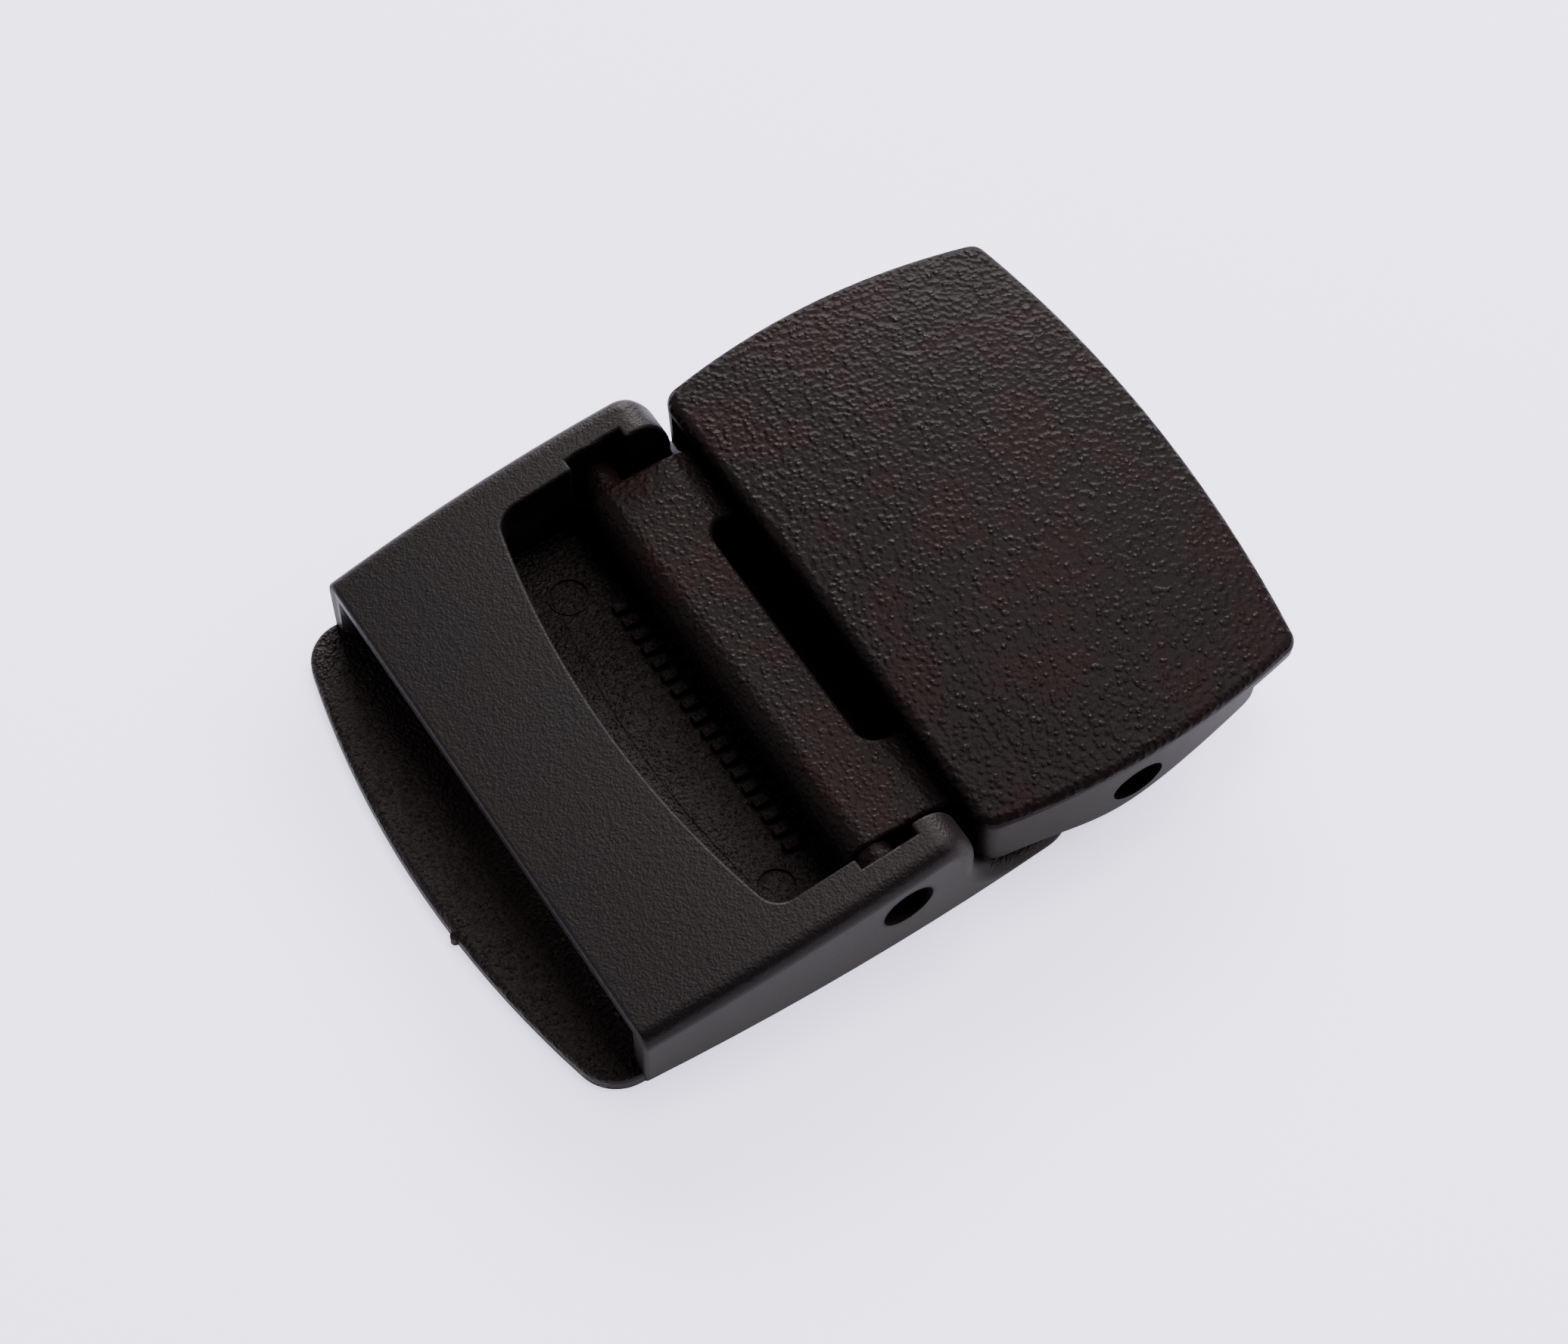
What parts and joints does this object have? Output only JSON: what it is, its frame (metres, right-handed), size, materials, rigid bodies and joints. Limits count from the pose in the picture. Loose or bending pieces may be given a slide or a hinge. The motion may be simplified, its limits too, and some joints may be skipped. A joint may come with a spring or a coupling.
{
  "type": "belt buckle",
  "caption": "Lift-lever buckle in moulded plastic for wide webbing: a toothed cam lever grips the free end and a hinged domed cover clamps the fixed end.",
  "frame": {"origin": "on the flat back face of the frame, straight below the lever's pivot axis, in the middle of the belt's width", "axes": "+X along the belt towards its fixed end and the cover, +Y across the belt, +Z outwards from the wearer"},
  "size_m": [0.0638, 0.0458, 0.0104],
  "materials": {
    "frame_plastic": "moulded black-brown plastic with a fine spark-eroded matte texture",
    "lever_plastic": "moulded black-brown plastic with a fine pebbled grain",
    "cover_plastic": "moulded black-brown plastic with a coarse leather-like grain and smooth side walls"
  },
  "bodies": {
    "frame": {"frame": "frame_plastic"},
    "lever": {"lever": "lever_plastic"},
    "cover": {"cover": "cover_plastic"}
  },
  "joints": [
    {"name": "lever_lift", "type": "hinge", "parent": "frame", "child": "lever", "pos_m": [0, 0, 0.00565], "axis": [0, -1, 0], "range_deg": [0, 110]},
    {"name": "cover_swing", "type": "hinge", "parent": "lever", "child": "cover", "pos_m": [0.0198, 0, 0.0044], "axis": [0, 1, 0], "range_deg": [0, 55]}
  ]
}
